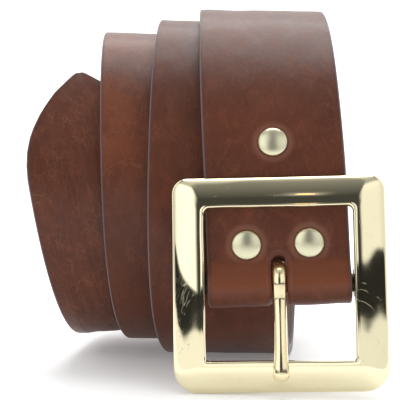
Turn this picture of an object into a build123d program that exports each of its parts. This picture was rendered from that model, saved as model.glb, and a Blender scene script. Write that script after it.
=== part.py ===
from build123d import *
import math
import os

# Leather belt, 50.8 mm wide, wound into an open coil that has crept sideways like a telescope and stands on its edge turn.
# Its folded end hangs down the front and carries a cast centre-bar buckle with its tongue and three double-cap rivets.
# Millimetres, +Z up, -Y toward the viewer, +X to the right. The coil's axis is along X.

# ---- strap ----
STRAP_WIDTH = 50.8          # two-inch belting
STRAP_THICKNESS = 3.6       # full-grain side leather
BED_FLAT = 0.35             # how far the outer turn flattens where it carries the weight
PLY_GAP = 0.10              # between the two plies of the folded end
FLAP_LENGTH = 60.6          # folded-back ply, measured up from the bar
SKIVE_START = 56.6          # from here the folded-back ply thins to its end
SKIVE_END_THICKNESS = 2.2
FLEX_AT = 63.6              # where the single ply starts, and the folded end swings from
FOLD_INNER_RADIUS = 3.9
FOLD_CENTRE_DROP = 0.3
SLOT_WIDTH = 5.6
SLOT_TOP = 10.2
PUNCH_HOLE_DIAMETER = 5.2
PUNCH_HOLE_COUNT = 5
PUNCH_HOLE_PITCH = 25.4
PUNCH_HOLE_FIRST = 92.0     # first hole's centre, back from the tip
COIL_LENGTHS = (3, 3, 3, 3, 2, 2)   # spans in each length of the coil; together they are one strip of leather, end to end

# ---- buckle ----
FRAME_WIDTH = 75.5
FRAME_HEIGHT = 75.8
WINDOW_WIDTH = 52.3
WINDOW_HEIGHT = 53.6
FRAME_BACK = 3.95           # in front of the bar's axis
FRAME_EDGE = 5.7            # top of the thin outer edge
FRAME_SHOULDER = 8.0
FRAME_FRONT = 9.0
TOP_CORNER = 5.5
BOTTOM_CORNER = 9.0
BAR_DIAMETER = 6.4
BAR_HEIGHT = 37.72          # bar axis above the table
FRAME_LEAN = -1.2           # degrees; the frame hangs nearer to level than the strap does, by its play in the fold
LUG_DEPTH = 6.0
LUG_HEIGHT = 10.4

# ---- tongue ----
PRONG_WIDTH = 4.4
LOOP_INNER_RADIUS = 3.28
LOOP_OUTER_RADIUS = 7.2
PRONG_LIFT = 0.3            # above the frame's face
PRONG_TIP_Y = -33.7

# ---- rivets ----
CAP_DIAMETER = 10.1
CAP_HEIGHT = 1.95
CAP_WALL = 0.45
RIVET_HOLE_DIAMETER = 4.1
SOCKET_OUTER = 4.0
SOCKET_INNER = 3.1
POST_DIAMETER = 3.0
FLANGE_DIAMETER = 9.0
LOWER_RIVET_HEIGHT = 14.0   # above the bar's axis
LOWER_RIVET_SPAN = 22.3
UPPER_RIVET_HEIGHT = 50.9
UPPER_SEAT = 0.2            # room for the bend of the plies under the upper rivet's rear cap

# ---- coil ----
# Turn angle from the front (0), over the top (90), down the back (180) and under (270), then on inward.
# Radius of the grain face, sideways place of the strap's middle, and cone angle of its width, in mm and degrees.
COIL = [
    (-30, 98.08, 22.02, -2.25),
    (-15, 83.89, 21.12, -2.11),
    (0, 77.74, 20.15, -1.71),
    (15, 74.60, 19.01, -0.93),
    (30, 71.99, 18.09, -0.14),
    (45, 69.89, 17.39, 0.41),
    (60, 68.60, 16.76, 0.73),
    (75, 68.09, 16.16, 0.91),
    (90, 68.24, 15.58, 0.98),
    (105, 68.85, 14.98, 0.89),
    (120, 69.63, 14.37, 0.71),
    (135, 70.41, 13.74, 0.51),
    (150, 71.24, 13.07, 0.34),
    (165, 72.17, 12.35, 0.20),
    (180, 73.23, 11.56, 0.09),
    (195, 74.44, 10.70, 0.03),
    (210, 75.60, 9.74, 0.00),
    (225, 76.51, 8.68, -0.01),
    (240, 76.93, 7.50, -0.02),
    (255, 76.79, 6.20, 0.01),
    (270, 76.54, 4.78, -0.01),
    (285, 77.02, 3.22, -0.13),
    (300, 78.59, 1.64, -0.01),
    (315, 79.43, 0.31, 0.35),
    (330, 76.83, -0.49, 0.59),
    (345, 71.95, -0.87, 0.73),
    (360, 66.93, -1.01, 0.86),
    (375, 63.50, -1.07, 1.05),
    (390, 61.72, -1.08, 1.33),
    (405, 61.25, -1.02, 1.71),
    (420, 61.69, -0.90, 2.14),
    (435, 62.62, -0.81, 2.50),
    (450, 63.57, -0.87, 2.60),
    (465, 64.21, -1.16, 2.35),
    (480, 64.67, -1.66, 1.85),
    (495, 65.19, -2.32, 1.29),
    (510, 65.96, -3.10, 0.81),
    (525, 66.95, -3.99, 0.43),
    (540, 68.08, -5.00, 0.15),
    (555, 69.25, -6.15, -0.05),
    (570, 70.36, -7.42, -0.19),
    (585, 71.28, -8.81, -0.33),
    (600, 71.90, -10.32, -0.46),
    (615, 72.10, -11.88, -0.54),
    (630, 71.72, -13.44, -0.52),
    (645, 70.68, -14.91, -0.34),
    (660, 69.01, -16.23, -0.10),
    (675, 66.79, -17.31, 0.10),
    (690, 64.13, -18.11, 0.19),
    (705, 61.44, -18.74, 0.23),
    (720, 59.17, -19.34, 0.32),
    (735, 57.68, -20.03, 0.53),
    (750, 56.94, -20.82, 0.84),
    (765, 56.85, -21.71, 1.19),
    (780, 57.25, -22.69, 1.54),
    (795, 57.91, -23.70, 1.79),
    (810, 58.57, -24.71, 1.82),
    (825, 59.03, -25.67, 1.56),
    (840, 59.43, -26.56, 1.13),
    (855, 59.97, -27.38, 0.70),
    (870, 60.79, -28.14, 0.42),
    (885, 61.83, -28.85, 0.31),
    (900, 62.92, -29.56, 0.42),
    (915, 63.98, -30.31, 0.74),
    (930, 65.00, -31.10, 1.33),
    (945, 66.01, -31.98, 2.23),
    (960, 66.97, -32.96, 3.40),
    (975, 67.58, -34.08, 4.48),
    (990, 67.45, -35.39, 5.03),
    (1005, 66.31, -36.92, 4.75),
    (1020, 64.34, -38.70, 3.90),
    (1035, 61.80, -40.72, 2.89),
    (1050, 59.00, -43.00, 2.02),
    (1065, 56.24, -45.47, 1.33),
    (1080, 53.85, -48.05, 0.78),
    (1095, 52.13, -50.68, 0.32),
    (1110, 51.42, -53.28, -0.10),
    (1130, 52.59, -56.57, -0.68),
]
CENTRE_HEIGHT = 76.543 - BED_FLAT
SHIFT_X = 6.9717                # puts the origin under the middle of the whole belt's box
SHIFT_Y = 11.9594
JOIN_ANGLE = -8.0           # below this the folded end is straight

# Half width of the strap by distance back from the tip: an English point.
POINT = [(0.0, 1.2), (0.35, 2.3), (0.9, 3.2), (1.9, 4.3), (3.5, 5.7), (5.6, 7.4), (9.3, 10.8), (14.8, 14.9), (18.4, 17.4),
         (23.9, 20.5), (27.6, 22.2), (33.2, 24.0), (38.8, 25.0), (44.5, 25.4)]


def natural_spline(xs, ys):
    """A cubic spline through the points, with no curvature at its ends."""
    n = len(xs)
    h = [xs[i + 1] - xs[i] for i in range(n - 1)]
    low, mid, up, rhs = [0.0] * n, [1.0] * n, [0.0] * n, [0.0] * n
    for i in range(1, n - 1):
        low[i], mid[i], up[i] = h[i - 1], 2 * (h[i - 1] + h[i]), h[i]
        rhs[i] = 6 * ((ys[i + 1] - ys[i]) / h[i] - (ys[i] - ys[i - 1]) / h[i - 1])
    for i in range(1, n):
        k = low[i] / mid[i - 1]
        mid[i] -= k * up[i - 1]
        rhs[i] -= k * rhs[i - 1]
    m = [0.0] * n
    m[-1] = rhs[-1] / mid[-1]
    for i in range(n - 2, -1, -1):
        m[i] = (rhs[i] - up[i] * m[i + 1]) / mid[i]

    def value(x):
        i = 0
        while i < n - 2 and x > xs[i + 1]:
            i += 1
        a, b = xs[i + 1] - x, x - xs[i]
        return (m[i] * a ** 3 + m[i + 1] * b ** 3) / (6 * h[i]) + (ys[i] / h[i] - m[i] * h[i] / 6) * a + (ys[i + 1] / h[i] - m[i + 1] * h[i] / 6) * b

    return value


ANGLES = [row[0] for row in COIL]
radius_at = natural_spline(ANGLES, [row[1] for row in COIL])
axial_at = natural_spline(ANGLES, [row[2] for row in COIL])
cone_at = natural_spline(ANGLES, [row[3] for row in COIL])


def grain_point(turn):
    a, r = math.radians(turn), radius_at(turn)
    return Vector(axial_at(turn) + SHIFT_X, -r * math.cos(a) + SHIFT_Y, CENTRE_HEIGHT + r * math.sin(a))


def coil_station(turn):
    """Point on the grain face's middle line, direction of the strap, its width direction and its outward normal."""
    p = grain_point(turn)
    t = (grain_point(turn + 0.05) - grain_point(turn - 0.05)).normalized()
    out = Vector(0, -t.Z, t.Y).normalized()
    across = t.cross(out).normalized()
    if across.X < 0:
        across = across * -1
    out = across.cross(t)
    if out.dot(Vector(0, p.Y - SHIFT_Y, p.Z - CENTRE_HEIGHT)) < 0:
        out = out * -1
    c = math.radians(cone_at(turn))
    return p, t, across * math.cos(c) - out * math.sin(c), out * math.cos(c) + across * math.sin(c)


# The straight end below JOIN_ANGLE, and the bar's axis in it.
join_p, join_t, join_w, join_n = coil_station(JOIN_ANGLE)
down = (join_p.Z - (STRAP_THICKNESS + PLY_GAP / 2) * join_n.Z - BAR_HEIGHT) / join_t.Z
bar_centre = join_p - join_t * down - join_n * (STRAP_THICKNESS + PLY_GAP / 2)
END = Plane(origin=bar_centre, x_dir=join_w, z_dir=join_n)   # x across, y up the strap, z toward the viewer
lean = math.radians(FRAME_LEAN)
HANG = Plane(origin=bar_centre, x_dir=END.x_dir * math.cos(lean) + END.y_dir * math.sin(lean), z_dir=join_n)   # the frame's own

# Distance along the grain face, from the bar to the tip.
STEP = 0.5
along = [(down, JOIN_ANGLE)]
turn, here = JOIN_ANGLE, grain_point(JOIN_ANGLE)
while turn < ANGLES[-1] - 1e-9:
    nxt = min(turn + STEP, ANGLES[-1])
    there = grain_point(nxt)
    along.append((along[-1][0] + (there - here).length, nxt))
    turn, here = nxt, there
TIP = along[-1][0]


def turn_at(s):
    lo, hi = 0, len(along) - 1
    while hi - lo > 1:
        m = (lo + hi) // 2
        if along[m][0] <= s:
            lo = m
        else:
            hi = m
    (s0, t0), (s1, t1) = along[lo], along[hi]
    return t0 + (t1 - t0) * (s - s0) / (s1 - s0)


def station(s):
    if s <= down:
        return join_p - join_t * (down - s), join_t, join_w, join_n
    return coil_station(turn_at(s))


def half_width(back_from_tip):
    d = back_from_tip
    if d >= POINT[-1][0]:
        return STRAP_WIDTH / 2
    for (d0, w0), (d1, w1) in zip(POINT, POINT[1:]):
        if d <= d1:
            return w0 + (w1 - w0) * (d - d0) / (d1 - d0)


def section(outer, inner, across, half):
    return [outer - across * half, outer + across * half, inner + across * half, inner - across * half]


def ribbon(sections, cuts, first=0, last=None):
    """A closed strip through four-cornered sections, from first to last. cuts are the indices where one smooth span ends and the next starts."""
    n = len(sections)
    last = n - 1 if last is None else last

    def slope(i, k):
        a, b = sections[max(i - 1, 0)][k], sections[min(i + 1, n - 1)][k]
        if 0 < i < n - 1:
            l0, l1 = (sections[i][k] - a).length, (b - sections[i][k]).length
            return ((sections[i][k] - a) * (l1 / l0) + (b - sections[i][k]) * (l0 / l1)).normalized()
        return (b - a).normalized()

    faces = []
    ends = sorted(set([first, last] + [c for c in cuts if first < c < last]))
    for i, j in zip(ends, ends[1:]):
        edges = [Edge.make_spline([sections[m][k] for m in range(i, j + 1)], tangents=[slope(i, k), slope(j, k)]) for k in range(4)]
        faces += [Face.make_surface_from_curves(edges[k], edges[(k + 1) % 4]) for k in range(4)]
    for i in (first, last):
        faces.append(Face(Wire.make_polygon(sections[i], close=True)))
    body = Solid(Shell(faces))
    if body.volume < 0:
        body = Solid(Shell([f for f in faces][::-1]))
    return body


def place(shape):
    """Moves a shape drawn at the bar's axis to where the buckle hangs."""
    return END.location * shape


# ---- the coiled length ----
def strip_sections(distances):
    rows = []
    for s in distances:
        p, t, w, n = station(s)
        rows.append(section(p, p - n * STRAP_THICKNESS, w, half_width(TIP - s)))
    return rows


point_start = TIP - POINT[-1][0]
count = 176
distances = [FLEX_AT + (point_start - FLEX_AT) * i / count for i in range(count + 1)]
cuts = list(range(0, count + 1, 11))
distances += [TIP - d for d, _ in reversed(POINT)][1:]
sections = strip_sections(distances)
coil_lengths, start = {}, 0
for k, spans in enumerate(COIL_LENGTHS, 1):
    stop = start + 11 * spans if k < len(COIL_LENGTHS) else len(sections) - 1
    length = ribbon(sections, cuts, start, stop)
    if length.bounding_box().min.Z < 0:
        length = length & Pos(0, 0, 200) * Box(800, 800, 400)
    if k == len(COIL_LENGTHS):
        for i in range(PUNCH_HOLE_COUNT):
            p, t, w, n = station(TIP - PUNCH_HOLE_FIRST - PUNCH_HOLE_PITCH * i)
            length = length - Plane(origin=p - n * STRAP_THICKNESS / 2, x_dir=w, z_dir=n).location * Cylinder(PUNCH_HOLE_DIAMETER / 2, 6.0)
    coil_lengths[f"strap_coil_{k}"] = length
    start = stop


# ---- the folded end ----
def local(y, z):
    return END.from_local_coords(Vector(0, y, z))


def flap_thickness(s):
    if s <= SKIVE_START:
        return STRAP_THICKNESS
    return STRAP_THICKNESS + (SKIVE_END_THICKNESS - STRAP_THICKNESS) * (s - SKIVE_START) / (FLAP_LENGTH - SKIVE_START)


H = STRAP_WIDTH / 2
MID = (STRAP_THICKNESS + PLY_GAP) / 2       # middle of a ply, from the bar's plane
FOLD_MID = FOLD_INNER_RADIUS + STRAP_THICKNESS / 2
ease = [(9.2, MID), (7.6, MID + 0.12), (6.0, MID + 0.75), (4.4, MID + 1.75), (2.6, MID + 2.95), (0.9, MID + 3.65), (-FOLD_CENTRE_DROP, FOLD_MID)]
arc = [(-FOLD_CENTRE_DROP - FOLD_MID * math.sin(math.radians(a)), FOLD_MID * math.cos(math.radians(a))) for a in range(20, 181, 20)]
middle = ease + arc + [(y, -z) for y, z in reversed(ease)][1:]

folded = []
for s in [FLEX_AT, 60.0, 56.0, 52.0, 47.5, 43.0, 38.0, 33.0, 28.0, 23.0, 18.0, 14.0, 11.0]:
    p, t, w, n = station(s)
    folded.append(section(p, p - n * STRAP_THICKNESS, w, H))
first_fold = len(folded)
padded = [(11.0, MID)] + middle + [(11.0, -MID)]
for i in range(1, len(padded) - 1):
    (y0, z0), (y, z), (y1, z1) = padded[i - 1], padded[i], padded[i + 1]
    l = math.hypot(y1 - y0, z1 - z0)
    ny, nz = (z1 - z0) / l * 1.0, -(y1 - y0) / l      # grain side of a strip running down the front
    h = STRAP_THICKNESS / 2
    folded.append(section(local(y + ny * h, z + nz * h), local(y - ny * h, z - nz * h), END.x_dir, H))
last_fold = len(folded) - 1
for s in [11.0, 14.0, 18.0, 23.0, 28.0, 33.0, 38.0, 43.0, 47.5, 52.0, SKIVE_START, FLAP_LENGTH]:
    p, t, w, n = station(s)
    inner = p - n * (STRAP_THICKNESS + PLY_GAP)
    folded.append(section(inner - n * flap_thickness(s), inner, w, H))
strap_end = ribbon(folded, [first_fold, first_fold + 3, first_fold + 6, first_fold + 11, first_fold + 14, first_fold + 17, last_fold, last_fold + 6, last_fold + 11])

slot = Pos(0, (SLOT_TOP - 14) / 2, 0) * Box(SLOT_WIDTH, SLOT_TOP + 14, 24)
slot = fillet(slot.edges().filter_by(Axis.Z).group_by(Axis.Y)[-1], 1.8)
strap_end = strap_end - place(slot)


# ---- rivets ----
def rivet_frames():
    """For each rivet: name, plane on the front face with z outward, and the thickness that it clamps."""
    found = []
    for name, x, s in (("lower_left", -LOWER_RIVET_SPAN / 2, LOWER_RIVET_HEIGHT), ("lower_right", LOWER_RIVET_SPAN / 2, LOWER_RIVET_HEIGHT), ("upper", 0.0, UPPER_RIVET_HEIGHT)):
        p, t, w, n = station(s)
        found.append((name, Plane(origin=p + w * x, x_dir=w, z_dir=n), STRAP_THICKNESS + PLY_GAP + flap_thickness(s) + (UPPER_SEAT if s > down else 0)))
    return found


def turned(points):
    """A solid turned about z from its half profile."""
    return revolve(Plane.XZ * make_face(Polyline(*points, close=True)), Axis.Z)


def cap_shell():
    """A pressed dome with a rolled skirt, sitting on z = 0."""
    r, h, w = CAP_DIAMETER / 2, CAP_HEIGHT, CAP_WALL
    outer = [(r, 0.55), (r * 0.985, 0.8), (r * 0.90, 1.16), (r * 0.72, 1.52), (r * 0.48, 1.78), (r * 0.24, 1.91), (0, h)]
    inner = [(0, h - w), (r * 0.24, 1.91 - w), (r * 0.48, 1.78 - w), (r * 0.72, 1.52 - w), (r * 0.86, 0.85), (r - w, 0.62), (r - w, 0.03)]
    return turned([(r - 0.08, 0.03)] + outer + inner)


def rivet_pieces(grip):
    f = FLANGE_DIAMETER / 2
    socket = turned([(0, 0.03), (0, 0.5), (f, 0.5), (f, 0.03), (SOCKET_OUTER / 2, 0.03), (SOCKET_OUTER / 2, -grip + 0.4), (SOCKET_INNER / 2, -grip + 0.4), (SOCKET_INNER / 2, 0.03)])
    post = turned([(0, -grip - 0.5), (f, -grip - 0.5), (f, -grip - 0.03), (POST_DIAMETER / 2, -grip - 0.03), (POST_DIAMETER / 2, -0.7), (POST_DIAMETER / 2 - 0.3, -0.4), (0, -0.4)])
    rear = Pos(0, 0, -grip) * (Rot(180, 0, 0) * cap_shell())
    return {"front_cap": cap_shell(), "front_socket": socket, "rear_post": post, "rear_cap": rear}


parts = {}
for name, plane, grip in rivet_frames():
    strap_end = strap_end - plane.location * Cylinder(RIVET_HOLE_DIAMETER / 2, 30)
    for piece, shape in rivet_pieces(grip).items():
        parts[f"{name}_rivet_{piece}"] = plane.location * shape


# ---- buckle frame with its bar ----
def rounded(width, height, top, bottom, z):
    face = make_face(Polyline((-width / 2, -height / 2), (width / 2, -height / 2), (width / 2, height / 2), (-width / 2, height / 2), close=True))
    low, high = face.vertices().group_by(Axis.Y)[0], face.vertices().group_by(Axis.Y)[-1]
    face = fillet(low, bottom)
    high = face.vertices().filter_by(lambda v: abs(v.Y - height / 2) < 1e-6)
    face = fillet(high, top)
    return Pos(0, 0, z) * face


def inset(d, z):
    return rounded(FRAME_WIDTH - 2 * d, FRAME_HEIGHT - 2 * d, max(TOP_CORNER - d * 0.5, 1.5), max(BOTTOM_CORNER - d * 0.7, 2.0), z)


frame = loft([inset(0.5, FRAME_BACK), inset(0.0, FRAME_BACK + 0.6), inset(0.0, FRAME_EDGE), inset(2.2, 7.1), inset(5.2, FRAME_SHOULDER + 0.35), inset(9.6, FRAME_FRONT)], ruled=True)
window = loft([rounded(WINDOW_WIDTH, WINDOW_HEIGHT, 2.0, 0.8, FRAME_BACK - 1), rounded(WINDOW_WIDTH, WINDOW_HEIGHT, 2.0, 0.8, FRAME_FRONT - 0.7), rounded(WINDOW_WIDTH + 2.4, WINDOW_HEIGHT + 2.4, 2.8, 1.6, FRAME_FRONT + 0.7)], ruled=True)
frame = frame - window
for side in (-1, 1):
    lug = Box(LUG_DEPTH, LUG_HEIGHT, FRAME_EDGE - 0.4 + BAR_DIAMETER / 2)
    lug = fillet(lug.edges().filter_by(Axis.X).group_by(Axis.Z)[0], 3.0)
    lug = Pos(side * (WINDOW_WIDTH / 2 + LUG_DEPTH / 2), 0, (FRAME_EDGE - 0.4 - BAR_DIAMETER / 2) / 2) * lug
    frame = frame + lug
frame = frame + Rot(0, 90, 0) * Cylinder(BAR_DIAMETER / 2, WINDOW_WIDTH + LUG_DEPTH)

# ---- tongue ----
ring = Rot(0, 90, 0) * (Cylinder(LOOP_OUTER_RADIUS, PRONG_WIDTH) - Cylinder(LOOP_INNER_RADIUS, PRONG_WIDTH + 1))
ring = fillet(ring.edges().filter_by(lambda e: e.length > 2 * math.pi * (LOOP_OUTER_RADIUS - 0.1)), 1.4)
rest = FRAME_FRONT + PRONG_LIFT + PRONG_WIDTH / 2
route = FilletPolyline((0, 0.0, 5.2), (0, -6.5, 5.0), (0, -26.0, rest), (0, PRONG_TIP_Y + 2.3, rest), radius=[9.0, 12.0])
shank = sweep(Plane(origin=route @ 0, z_dir=route % 0) * Circle(PRONG_WIDTH / 2), path=route)
tip = Pos(0, PRONG_TIP_Y + 2.3, rest) * Sphere(PRONG_WIDTH / 2)
prong = ring + shank + tip
prong = prong - Rot(0, 90, 0) * Cylinder(LOOP_INNER_RADIUS, PRONG_WIDTH + 3)

parts.update(coil_lengths)
parts["strap_buckle_end"] = strap_end
parts["buckle_frame"] = HANG.location * frame
parts["prong"] = HANG.location * prong

os.makedirs("parts", exist_ok=True)
for name, shape in parts.items():
    solids = shape.solids()
    shape = solids[0] if len(solids) == 1 else Compound(children=list(solids))
    export_step(shape, f"parts/{name}.step")

box = Compound(children=[s for shape in parts.values() for s in shape.solids()]).bounding_box()
print("box", box.min, box.max)
print("bar centre", bar_centre, "across", END.x_dir, "up", END.y_dir, "out", END.z_dir)
print("frame across", HANG.x_dir, "up", HANG.y_dir)
p, t, w, n = station(FLEX_AT)
print("flex at", p, "across", w, "along", t, "out", n)
print("length from bar to tip", TIP, "straight end", down)
for name, plane, grip in rivet_frames():
    print(name, plane.origin, plane.z_dir, "grip", grip)
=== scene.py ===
import math
import bmesh
import bpy
import numpy as np
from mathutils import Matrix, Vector


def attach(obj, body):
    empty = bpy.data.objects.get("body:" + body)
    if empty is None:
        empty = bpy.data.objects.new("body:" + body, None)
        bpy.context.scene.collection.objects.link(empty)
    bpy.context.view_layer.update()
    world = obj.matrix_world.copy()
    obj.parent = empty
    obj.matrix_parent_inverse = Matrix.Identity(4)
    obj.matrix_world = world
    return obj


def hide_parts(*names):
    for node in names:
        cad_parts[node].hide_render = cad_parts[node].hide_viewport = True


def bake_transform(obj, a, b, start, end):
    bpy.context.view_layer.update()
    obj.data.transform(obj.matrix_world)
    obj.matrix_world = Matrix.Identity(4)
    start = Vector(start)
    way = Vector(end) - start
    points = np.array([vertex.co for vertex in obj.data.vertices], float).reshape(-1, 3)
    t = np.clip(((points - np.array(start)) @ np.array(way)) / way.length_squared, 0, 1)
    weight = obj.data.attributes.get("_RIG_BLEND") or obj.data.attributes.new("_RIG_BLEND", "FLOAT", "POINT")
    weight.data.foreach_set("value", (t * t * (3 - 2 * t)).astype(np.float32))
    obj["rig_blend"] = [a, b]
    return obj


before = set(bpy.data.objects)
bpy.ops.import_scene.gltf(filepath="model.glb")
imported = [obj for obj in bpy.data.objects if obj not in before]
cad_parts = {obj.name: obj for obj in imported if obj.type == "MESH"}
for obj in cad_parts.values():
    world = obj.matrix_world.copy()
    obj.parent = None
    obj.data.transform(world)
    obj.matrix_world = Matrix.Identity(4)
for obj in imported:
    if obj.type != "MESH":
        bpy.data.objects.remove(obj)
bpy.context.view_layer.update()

rng = np.random.default_rng(7)
MM = 0.001

# ---------------------------------------------------------------- the belt's own dimensions, in millimetres
STRAP_WIDTH, T, GAP = 50.8, 3.6, 0.10
FLAP_LENGTH, SKIVE_START, SKIVE_END = 60.6, 56.6, 2.2
FLEX_AT = 63.6
FOLD_INNER, FOLD_DROP = 3.9, 0.3
SLOT_WIDTH, SLOT_TOP = 5.6, 10.2
HOLE, HOLES, PITCH, FIRST = 5.2, 5, 25.4, 92.0
FRAME_W, FRAME_H, WIN_W, WIN_H = 75.5, 75.8, 52.3, 53.6
BAR_D, BAR_HEIGHT, FRAME_LEAN = 6.4, 37.72, -1.2
PRONG_W, PRONG_TIP, PRONG_REST = 4.4, -33.7, 11.5
RIVETS = {"lower_left": (-11.15, 14.0), "lower_right": (11.15, 14.0), "upper": (0.0, 50.9)}
SHIFT_X, SHIFT_Y, CENTRE = 6.9717, 11.9594, 76.543 - 0.35
JOIN = -8.0
POINT = [(0.0, 0.8), (0.35, 1.6), (0.9, 2.4), (1.9, 3.5), (3.5, 5.1), (5.6, 7.1), (9.3, 10.8), (14.8, 14.9), (18.4, 17.4),
         (23.9, 20.5), (27.6, 22.2), (33.2, 24.0), (38.8, 25.0), (44.5, 25.4)]
COIL = np.array([
    (-30, 98.08, 22.02, -2.25),
    (-15, 83.89, 21.12, -2.11),
    (0, 77.74, 20.15, -1.71),
    (15, 74.60, 19.01, -0.93),
    (30, 71.99, 18.09, -0.14),
    (45, 69.89, 17.39, 0.41),
    (60, 68.60, 16.76, 0.73),
    (75, 68.09, 16.16, 0.91),
    (90, 68.24, 15.58, 0.98),
    (105, 68.85, 14.98, 0.89),
    (120, 69.63, 14.37, 0.71),
    (135, 70.41, 13.74, 0.51),
    (150, 71.24, 13.07, 0.34),
    (165, 72.17, 12.35, 0.20),
    (180, 73.23, 11.56, 0.09),
    (195, 74.44, 10.70, 0.03),
    (210, 75.60, 9.74, 0.00),
    (225, 76.51, 8.68, -0.01),
    (240, 76.93, 7.50, -0.02),
    (255, 76.79, 6.20, 0.01),
    (270, 76.54, 4.78, -0.01),
    (285, 77.02, 3.22, -0.13),
    (300, 78.59, 1.64, -0.01),
    (315, 79.43, 0.31, 0.35),
    (330, 76.83, -0.49, 0.59),
    (345, 71.95, -0.87, 0.73),
    (360, 66.93, -1.01, 0.86),
    (375, 63.50, -1.07, 1.05),
    (390, 61.72, -1.08, 1.33),
    (405, 61.25, -1.02, 1.71),
    (420, 61.69, -0.90, 2.14),
    (435, 62.62, -0.81, 2.50),
    (450, 63.57, -0.87, 2.60),
    (465, 64.21, -1.16, 2.35),
    (480, 64.67, -1.66, 1.85),
    (495, 65.19, -2.32, 1.29),
    (510, 65.96, -3.10, 0.81),
    (525, 66.95, -3.99, 0.43),
    (540, 68.08, -5.00, 0.15),
    (555, 69.25, -6.15, -0.05),
    (570, 70.36, -7.42, -0.19),
    (585, 71.28, -8.81, -0.33),
    (600, 71.90, -10.32, -0.46),
    (615, 72.10, -11.88, -0.54),
    (630, 71.72, -13.44, -0.52),
    (645, 70.68, -14.91, -0.34),
    (660, 69.01, -16.23, -0.10),
    (675, 66.79, -17.31, 0.10),
    (690, 64.13, -18.11, 0.19),
    (705, 61.44, -18.74, 0.23),
    (720, 59.17, -19.34, 0.32),
    (735, 57.68, -20.03, 0.53),
    (750, 56.94, -20.82, 0.84),
    (765, 56.85, -21.71, 1.19),
    (780, 57.25, -22.69, 1.54),
    (795, 57.91, -23.70, 1.79),
    (810, 58.57, -24.71, 1.82),
    (825, 59.03, -25.67, 1.56),
    (840, 59.43, -26.56, 1.13),
    (855, 59.97, -27.38, 0.70),
    (870, 60.79, -28.14, 0.42),
    (885, 61.83, -28.85, 0.31),
    (900, 62.92, -29.56, 0.42),
    (915, 63.98, -30.31, 0.74),
    (930, 65.00, -31.10, 1.33),
    (945, 66.01, -31.98, 2.23),
    (960, 66.97, -32.96, 3.40),
    (975, 67.58, -34.08, 4.48),
    (990, 67.45, -35.39, 5.03),
    (1005, 66.31, -36.92, 4.75),
    (1020, 64.34, -38.70, 3.90),
    (1035, 61.80, -40.72, 2.89),
    (1050, 59.00, -43.00, 2.02),
    (1065, 56.24, -45.47, 1.33),
    (1080, 53.85, -48.05, 0.78),
    (1095, 52.13, -50.68, 0.32),
    (1110, 51.42, -53.28, -0.10),
    (1130, 52.59, -56.57, -0.68),
], float)


def unit(v):
    return v / np.linalg.norm(v, axis=-1, keepdims=True)


def natural_spline(xs, ys):
    xs, ys = np.asarray(xs, float), np.asarray(ys, float)
    n, h = len(xs), np.diff(xs)
    a, r = np.eye(n), np.zeros(n)
    for i in range(1, n - 1):
        a[i, i - 1], a[i, i], a[i, i + 1] = h[i - 1], 2 * (h[i - 1] + h[i]), h[i]
        r[i] = 6 * ((ys[i + 1] - ys[i]) / h[i] - (ys[i] - ys[i - 1]) / h[i - 1])
    m = np.linalg.solve(a, r)

    def value(x):
        x = np.asarray(x, float)
        i = np.clip(np.searchsorted(xs, x, side="left") - 1, 0, n - 2)
        p, q = xs[i + 1] - x, x - xs[i]
        return (m[i] * p ** 3 + m[i + 1] * q ** 3) / (6 * h[i]) + (ys[i] / h[i] - m[i] * h[i] / 6) * p + (ys[i + 1] / h[i] - m[i + 1] * h[i] / 6) * q

    return value


radius_at, axial_at, cone_at = (natural_spline(COIL[:, 0], COIL[:, k]) for k in (1, 2, 3))


def grain_point(turn):
    a, r = np.radians(turn), radius_at(turn)
    return np.stack([axial_at(turn) + SHIFT_X, -r * np.cos(a) + SHIFT_Y, CENTRE + r * np.sin(a)], -1)


def coil_station(turn):
    turn = np.atleast_1d(np.asarray(turn, float))
    p = grain_point(turn)
    t = unit(grain_point(turn + 0.05) - grain_point(turn - 0.05))
    out = unit(np.stack([0 * turn, -t[:, 2], t[:, 1]], -1))
    across = unit(np.cross(t, out))
    across = np.where(across[:, :1] < 0, -across, across)
    out = np.cross(across, t)
    radial = p - np.array([0, SHIFT_Y, CENTRE])
    radial[:, 0] = 0
    out = np.where(np.sum(out * radial, -1, keepdims=True) < 0, -out, out)
    c = np.radians(cone_at(turn))[:, None]
    return p, t, across * np.cos(c) - out * np.sin(c), out * np.cos(c) + across * np.sin(c)


join_p, join_t, join_w, join_n = (v[0] for v in coil_station(JOIN))
down = (join_p[2] - (T + GAP / 2) * join_n[2] - BAR_HEIGHT) / join_t[2]
BAR = join_p - join_t * down - join_n * (T + GAP / 2)
EX, EZ = unit(join_w), unit(join_n)
EY = np.cross(EZ, EX)
lean = math.radians(FRAME_LEAN)
HX = EX * math.cos(lean) + EY * math.sin(lean)
HZ = EZ
HY = np.cross(HZ, HX)

_turns = np.append(np.arange(JOIN, COIL[-1, 0], 0.5), COIL[-1, 0])
_points = grain_point(_turns)
_along = down + np.append(0, np.cumsum(np.linalg.norm(np.diff(_points, axis=0), axis=1)))
TIP = _along[-1]


def station(s):
    """Grain face's middle line, direction, width direction and outward normal, by distance above the bar."""
    s = np.atleast_1d(np.asarray(s, float))
    p, t, w, n = coil_station(np.interp(s, _along, _turns))
    low = (s <= down)[:, None]
    return (np.where(low, join_p - join_t * (down - s[:, None]), p), np.where(low, join_t, t),
            np.where(low, join_w, w), np.where(low, join_n, n))


def half_width(back):
    d, w = np.array(POINT).T
    return np.interp(back, d, w)


def bar_frame(x, y, z, hang=True):
    """Points drawn at the bar's axis: x across, y up, z toward the viewer, in mm."""
    x, y, z = np.broadcast_arrays(np.asarray(x, float), np.asarray(y, float), np.asarray(z, float))
    ax, ay, az = (HX, HY, HZ) if hang else (EX, EY, EZ)
    return BAR + x[..., None] * ax + y[..., None] * ay + z[..., None] * az


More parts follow.
